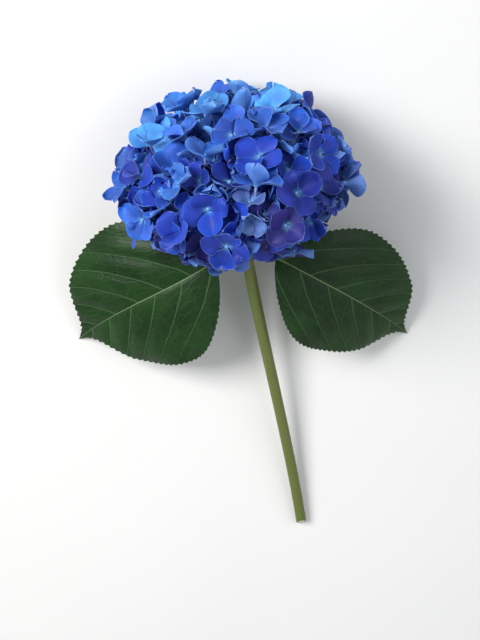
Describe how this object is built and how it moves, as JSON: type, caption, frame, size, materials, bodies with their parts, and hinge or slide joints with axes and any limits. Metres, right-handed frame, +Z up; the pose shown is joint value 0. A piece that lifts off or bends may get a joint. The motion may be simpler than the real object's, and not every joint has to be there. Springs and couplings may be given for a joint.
{
  "type": "hydrangea flower head",
  "caption": "Blue mophead hydrangea head of crowded florets on branching stalks, cut with its stem and its broad toothed leaves, lying on its side.",
  "frame": {"origin": "middle of the bounding box at the height of the surface that the flower lies on", "axes": "+Y along the flower from its cut end to its head, +Z up from the surface that it lies on, +X to the side of the smaller leaf"},
  "size_m": [0.253, 0.3542, 0.1637],
  "materials": {
    "sepals": "matte",
    "stem": "satin",
    "leaf": "satin"
  },
  "bodies": {
    "root": {"flower_head": "sepals", "stem": "stem", "leaf_left": "leaf", "leaf_right": "leaf"}
  },
  "joints": []
}
